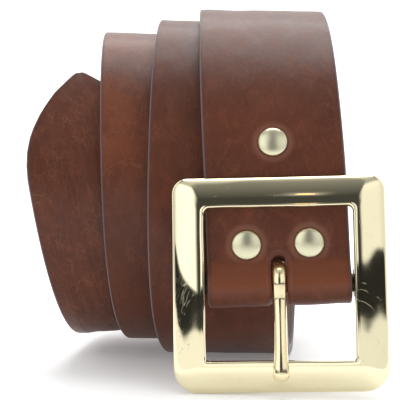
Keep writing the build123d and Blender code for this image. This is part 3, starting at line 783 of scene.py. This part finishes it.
# ---------------------------------------------------------------- buckle frame
def rounded_loop(half_x, half_y, top, bottom, per_side=26, per_corner=9):
    """A rounded rectangle with the same number of points whatever its size."""
    pts = []
    corners = [(1, 1, top), (-1, 1, top), (-1, -1, bottom), (1, -1, bottom)]
    for k, (sx, sy, r) in enumerate(corners):
        cx, cy = sx * (half_x - r), sy * (half_y - r)
        for i in range(per_corner + 1):
            f = math.radians(90 * k + 90 * i / per_corner)
            pts.append((cx + r * math.cos(f), cy + r * math.sin(f)))
        nx, ny, nr = corners[(k + 1) % 4]
        f = math.radians(90 * (k + 1))
        a = np.array(pts[-1])
        b = np.array((nx * (half_x - nr) + nr * math.cos(f), ny * (half_y - nr) + nr * math.sin(f)))
        for i in range(1, per_side):
            pts.append(tuple(a + (b - a) * i / per_side))
    return np.array(pts)


PROFILE = [(0.075, 3.95), (0.035, 4.08), (0.010, 4.35), (0.0, 4.75), (0.0, 5.15), (0.006, 5.50), (0.024, 5.86), (0.055, 6.22), (0.10, 6.60),
           (0.16, 7.00), (0.24, 7.43), (0.33, 7.83), (0.43, 8.19), (0.53, 8.48), (0.63, 8.70), (0.72, 8.83), (0.80, 8.90), (0.855, 8.92),
           (0.885, 8.92), (0.905, 8.96), (0.925, 9.03), (0.945, 9.04), (0.962, 8.97), (0.978, 8.80), (0.990, 8.55), (0.998, 8.22), (1.0, 7.85),
           (1.0, 6.9), (1.0, 5.9), (1.0, 4.9), (0.998, 4.5), (0.985, 4.2), (0.955, 4.02), (0.91, 3.95), (0.7, 3.95), (0.45, 3.95), (0.2, 3.95)]
loops_3d = []
for f, z in PROFILE:
    hx, hy = FRAME_W / 2 + (WIN_W - FRAME_W) / 2 * f, FRAME_H / 2 + (WIN_H - FRAME_H) / 2 * f
    top, bottom = 5.5 + (2.0 - 5.5) * f ** 0.8, 9.0 + (0.9 - 9.0) * f ** 0.6
    xy = rounded_loop(hx, hy, top, bottom)
    # hand-finished casting: faces and sides wander by a few hundredths
    zz = z + 0.055 * smooth_noise(xy[:, 0] / 13 + 200, xy[:, 1] / 13 + 100, 11) * (z > 5) + 0.006 * smooth_noise(xy[:, 0] / 5 + 20, xy[:, 1] / 5 + 70, 12) * (z > 5)
    edge_wander = 0.10 * smooth_noise(xy[:, 0] / 9 + 300, xy[:, 1] / 9 + 30, 13) * (0.9 < f)
    xy = xy * (1 + edge_wander / 27)[:, None]
    loops_3d.append(bar_frame(xy[:, 0], xy[:, 1], zz))
loops_3d = np.array(loops_3d)
buckle = new_object("buckle_frame_cast", loops_3d.reshape(-1, 3), rings(loops_3d, closed_u=True), [FRAME_BRASS], sharp=60)
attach(buckle, "frame")
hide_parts("buckle_frame")


def box_rounded(name, x0, x1, y0, y1, z0, z1, r, material, steps=4, hang=True):
    """A bar along x with rounded long edges."""
    section2 = []
    for cy, cz, a0 in ((y1 - r, z1 - r, 0), (y0 + r, z1 - r, 90), (y0 + r, z0 + r, 180), (y1 - r, z0 + r, 270)):
        for i in range(steps + 1):
            f = math.radians(a0 + 90 * i / steps)
            section2.append((cy + r * math.cos(f), cz + r * math.sin(f)))
    s2 = np.array(section2)
    cy, cz = (y0 + y1) / 2, (z0 + z1) / 2
    rows = []
    for x, k in ((x0, 0.82), (x0 + 0.12, 0.92), (x0 + 0.35, 1.0), ((x0 + x1) / 2, 1.0), (x1 - 0.35, 1.0), (x1 - 0.12, 0.92), (x1, 0.82)):
        rows.append(bar_frame(x, cy + (s2[:, 0] - cy) * k, cz + (s2[:, 1] - cz) * k, hang))
    rows = np.array(rows)
    return new_object(name, rows.reshape(-1, 3), rings(rows), [material], sharp=50)


# the lugs, and the centre bar below, take the near-black brass painted for their shade
for side, name in ((-1, "left"), (1, "right")):
    a, b = sorted((side * (WIN_W / 2 + 0.05), side * (WIN_W / 2 + 6.0)))
    lug = box_rounded(f"buckle_lug_{name}", a, b, -5.2, 5.2, -3.2, 4.6, 2.4, BAR_PAINTED_SHADE_BRASS, 6)
    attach(lug, "frame")
f = np.radians(np.arange(0, 360, 6))
rows = []
for x in np.concatenate([[-29.0], np.linspace(-28.6, 28.6, 23), [29.0]]):
    r = BAR_D / 2 * (0.9 if abs(x) > 28.8 else 1.0)
    rows.append(bar_frame(x, r * np.cos(f), r * np.sin(f)))
rows = np.array(rows)
centre_bar = new_object("buckle_centre_bar", rows.reshape(-1, 3), rings(rows), [BAR_PAINTED_SHADE_BRASS], sharp=50)
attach(centre_bar, "frame")

# ---------------------------------------------------------------- tongue: a rod bent round the bar, then a shank that widens to its tip
ROD = 4.4
ring_r = BAR_D / 2 + 0.50 + ROD / 2
path, size_x, size_r = [], [], []
for a in np.arange(-150.0, 91.0, 4.0):              # 0 is straight up, 90 is toward the viewer
    path.append((ring_r * math.cos(math.radians(a)), ring_r * math.sin(math.radians(a))))
    k = np.clip((a + 150) / 25, 0, 1)
    size_x.append((ROD + 0.75) * (0.72 + 0.28 * k))
    size_r.append((ROD + 0.3) * (0.30 + 0.70 * k))
shank = [(-2.4, 5.80), (-5.0, 5.62), (-7.6, 5.84), (-10.4, 6.42), (-13.4, 7.35), (-16.6, 8.45), (-20.0, 9.62), (-23.2, 10.62), (-26.0, 11.28),
         (-28.4, 11.62), (-30.2, 11.72), (-31.4, 11.72)]
shank_w = [5.0, 4.7, 4.7, 4.7, 4.75, 4.75, 4.75, 4.8, 5.0, 5.35, 5.6, 5.7]
shank_h = [4.3, 4.0, 4.0, 4.1, 4.2, 4.2, 4.2, 4.2, 4.2, 4.2, 4.15, 4.1]
sy = np.array([p[0] for p in shank])
grid = np.linspace(sy[0], sy[-1], 60)
for y in grid:
    path.append((y, float(np.interp(-y, -sy, [p[1] for p in shank]))))
    size_x.append(float(np.interp(-y, -sy, shank_w)))
    size_r.append(float(np.interp(-y, -sy, shank_h)))
end_y = PRONG_TIP
for k in np.radians([18, 36, 52, 66, 78, 86]):
    path.append((sy[-1] + (end_y - sy[-1]) * math.sin(k), 11.72))
    size_x.append(5.7 * math.cos(k) ** 0.75)
    size_r.append(4.1 * math.cos(k) ** 0.75)
path = np.array(path)
# soften the joins of the route
size_x, size_r = np.array(size_x), np.array(size_r)
for _ in range(14):
    path[56:-8] = path[56:-8] * 0.5 + (path[55:-9] + path[57:-7]) * 0.25
    size_x[54:-8] = size_x[54:-8] * 0.5 + (size_x[53:-9] + size_x[55:-7]) * 0.25
    size_r[54:-8] = size_r[54:-8] * 0.5 + (size_r[53:-9] + size_r[55:-7]) * 0.25
tangent = unit(np.gradient(path, axis=0))
side_n = np.stack([-tangent[:, 1], tangent[:, 0]], -1)
rows = []
phi = np.radians(np.arange(0, 360, 12))
for (y, z), (ny, nz), wx, wr in zip(path, side_n, size_x, size_r):
    cx = np.sign(np.cos(phi)) * np.abs(np.cos(phi)) ** 0.92 * wx / 2
    cr = np.sign(np.sin(phi)) * np.abs(np.sin(phi)) ** 0.92 * wr / 2
    rows.append(bar_frame(cx, y + ny * cr, z + nz * cr))
rows = np.array(rows)
tongue = new_object("prong_forged", rows.reshape(-1, 3), rings(rows), [PRONG_BRASS], sharp=70)
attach(tongue, "tongue")
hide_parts("prong")


# ---------------------------------------------------------------- rivet caps: pressed domes with a rolled skirt
def cap(name, origin, w, n, node, body="buckle_end"):
    across2 = np.cross(n, w)
    prof = [(4.45, 0.05), (4.85, 0.04), (5.02, 0.12), (5.05, 0.32), (5.03, 0.52), (4.97, 0.68), (4.86, 0.82), (4.70, 0.97), (4.48, 1.12),
            (4.15, 1.28), (3.75, 1.43), (3.25, 1.57), (2.65, 1.70), (2.0, 1.80), (1.35, 1.88), (0.7, 1.925), (0.25, 1.945)]
    ang = np.radians(np.arange(0, 360, 6))
    rows = []
    for r, z in prof:
        rr = r * 1.045 + 0.012 * np.sin(3 * ang + r)
        rows.append(origin + (np.cos(ang) * rr)[:, None] * w + (np.sin(ang) * rr)[:, None] * across2 + z * n)
    rows = np.array(rows)
    obj = new_object(name, rows.reshape(-1, 3), rings(rows), [CAP_BRASS], sharp=60)
    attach(obj, body)
    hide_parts(node)


for name, (a, s) in RIVETS.items():
    p, t, w, n = (v[0] for v in station(s))
    th = T if s <= SKIVE_START else T + (SKIVE_END - T) * (s - SKIVE_START) / (FLAP_LENGTH - SKIVE_START)
    grip = T + GAP + th + (0.2 if s > down else 0.0)
    o = p + w * a
    cap(f"{name}_cap_front", o - n * 0.28, w, n, f"{name}_rivet_front_cap")
    cap(f"{name}_cap_rear", o - n * (grip - 0.10), w, -n, f"{name}_rivet_rear_cap")
for name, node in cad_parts.items():
    if name.endswith("socket") or name.endswith("post"):
        for k in range(max(1, len(node.material_slots))):
            if len(node.material_slots) == 0:
                node.data.materials.append(STEM_BRASS)
            else:
                node.material_slots[k].material = STEM_BRASS

# ---------------------------------------------------------------- floor, light and camera
floor_mat = Nodes("floor_paper")
c = floor_mat.object_coords()
tooth = floor_mat.noise(c, 600.0, 3.0)
floor_mat.set("Base Color", floor_mat.mix(floor_mat.ramp(tooth, 0.3, 0.7), (0.90, 0.90, 0.90), (0.93, 0.93, 0.93)))
floor_mat.set("Roughness", 0.9)
floor_mat.set("Emission Strength", 0.15)
floor_mat.set("Specular IOR Level", 0.1)
quad = np.array([(-4000, -4000, -0.05), (4000, -4000, -0.05), (4000, 4000, -0.05), (-4000, 4000, -0.05)])
floor = new_object("floor", quad, [(0, 1, 2, 3)], [floor_mat.material], smooth=False)

world = bpy.data.worlds.new("studio")
bpy.context.scene.world = world
world.use_nodes = True
wt = world.node_tree
wt.nodes.clear()


class Sky(Nodes):
    def __init__(self, tree):
        self.tree = tree


k = Sky(wt)
direction = k.node("ShaderNodeTexCoord").outputs["Generated"]
dx, dy, dz = k.xyz(direction)
azimuth = k.math("MULTIPLY", k.math("ARCTAN2", dx, k.math("MULTIPLY", dy, -1.0)), 57.29578)    # 0 toward the viewer, + to the right
elevation = k.math("MULTIPLY", k.math("ARCSINE", dz), 57.29578)


def panel(a0, a1, e0, e1, soft_a, soft_e, value):
    m = k.math("MULTIPLY", k.ramp(azimuth, a0 - soft_a, a0 + soft_a), k.ramp(azimuth, a1 - soft_a, a1 + soft_a, 1.0, 0.0))
    m = k.math("MULTIPLY", m, k.ramp(elevation, e0 - soft_e, e0 + soft_e))
    m = k.math("MULTIPLY", m, k.ramp(elevation, e1 - soft_e * 2, e1 + soft_e * 2, 1.0, 0.0))
    return k.math("MULTIPLY", m, value)


side = k.math("ABSOLUTE", azimuth)
is_right = k.ramp(azimuth, -2.0, 2.0)
# a dark band low round the sides, where the panels end above the table
band_middle = k.math("MULTIPLY", k.ramp(is_right, 0.0, 1.0, 6.2, 9.2, False), k.math("COSINE", k.math("MULTIPLY", side, 0.87 * math.pi / 180)))
inner = k.ramp(side, 15, 50, 1.0, 0.0)
band_middle = k.math("ADD", band_middle, k.math("ADD", k.math("MULTIPLY", k.ramp(is_right, 0.0, 1.0, 0.8, -1.0, False), inner), k.ramp(is_right, 0.0, 1.0, -0.4, 0.15, False)))
above = k.math("SUBTRACT", elevation, band_middle)
# narrower toward the middle of the room on the left, and closed beyond the frame's outermost slopes
band_half = k.math("SUBTRACT", 1.75, k.math("MULTIPLY", inner, k.ramp(is_right, 0.0, 1.0, 0.95, 0.0, False)))
beyond = k.ramp(side, 75, 80)
over_band = k.math("MAXIMUM", beyond, k.ramp(k.math("SUBTRACT", above, band_half), -0.22, 0.22))
under_band = k.ramp(k.math("ADD", above, band_half), -0.22, 0.22, 1.0, 0.0)
front = k.ramp(side, 92, 112, 1.0, 0.0)
left_panel = k.math("MULTIPLY", k.math("MULTIPLY", k.ramp(azimuth, -20, -12, 1.0, 0.0), k.ramp(elevation, 44, 58, 1.0, 0.25)), k.ramp(azimuth, -80, -54, 0.72, 1.46))
right_panel = k.math("MULTIPLY", k.math("MULTIPLY", k.ramp(azimuth, 7, 14), k.ramp(elevation, 42, 56, 1.0, 0.25)), k.ramp(azimuth, 46, 72, 1.08, 0.92))
sky = k.math("ADD", k.math("ADD", left_panel, right_panel), k.ramp(elevation, 26, 78, 0.042, 0.36, False))
light = k.math("MULTIPLY", k.math("MULTIPLY", sky, over_band), front)
light = k.math("ADD", light, k.math("MULTIPLY", k.math("MULTIPLY", k.math("MULTIPLY", under_band, front), k.math("SUBTRACT", 1.0, beyond)), k.ramp(is_right, 0.0, 1.0, 1.18, 1.02, False)))
light = k.math("ADD", light, k.math("MULTIPLY", k.ramp(elevation, 64, 84), k.ramp(dy, -0.20, 0.08, 0.25, 2.2)))
light = k.math("ADD", light, k.math("MULTIPLY", k.ramp(side, 92, 112), k.ramp(elevation, 50, 64, 1.45, 0.0)))
light = k.math("ADD", light, 0.025)
lamp = k.math("ADD", panel(-1.15, -0.70, 33.0, 35.2, 0.18, 0.6, 1.0), panel(-2.1, 0.2, 30.5, 37.0, 1.0, 2.0, 0.12), clamp=True)
colour = k.mix(lamp, (1.0, 1.0, 1.0), (1.0, 0.56, 0.16))
strength = k.math("ADD", light, k.math("MULTIPLY", lamp, 3.4))
bg = k.node("ShaderNodeBackground")
k.link(colour, bg.inputs["Color"])
k.link(strength, bg.inputs["Strength"])
wo = k.node("ShaderNodeOutputWorld")
k.link(bg.outputs[0], wo.inputs[0])


def area(name, at, aim, size, power, tint=(1, 1, 1)):
    data = bpy.data.lights.new(name, "AREA")
    data.shape, data.size, data.energy, data.color = "SQUARE", size, power, tint
    obj = bpy.data.objects.new(name, data)
    obj.location = at
    obj.rotation_euler = (Vector(aim) - Vector(at)).to_track_quat("-Z", "Y").to_euler()
    bpy.context.scene.collection.objects.link(obj)


area("overhead", (0.05, 0.42, 1.10), (0.0, 0.05, 0.05), 0.9, 9.0)

YAW, PITCH, ROLL = 0.0335085, 0.0434294, 0.0028336
right = np.array([math.cos(YAW), math.sin(YAW), 0])
ahead = np.array([-math.sin(YAW), math.cos(YAW), 0])
zed = np.array([0, 0, 1.0])
look = ahead * math.cos(PITCH) - zed * math.sin(PITCH)
up = zed * math.cos(PITCH) + ahead * math.sin(PITCH)
rx, ux = right * math.cos(ROLL) + up * math.sin(ROLL), up * math.cos(ROLL) - right * math.sin(ROLL)
from mathutils import Matrix

cam_data = bpy.data.cameras.new("camera")
cam_data.sensor_fit, cam_data.sensor_width, cam_data.lens = "HORIZONTAL", 36.0, 1087.61 * 36.0 / 416.0
cam_data.clip_start, cam_data.clip_end = 0.01, 20.0
camera = bpy.data.objects.new("camera", cam_data)
bpy.context.scene.collection.objects.link(camera)
at = np.array([9.3632 + SHIFT_X, -466.3737 + SHIFT_Y, 84.350]) * MM
camera.matrix_world = Matrix(((rx[0], ux[0], -look[0], at[0]), (rx[1], ux[1], -look[1], at[1]), (rx[2], ux[2], -look[2], at[2]), (0, 0, 0, 1)))
bpy.context.scene.camera = camera
bpy.context.scene.view_settings.view_transform = "Standard"
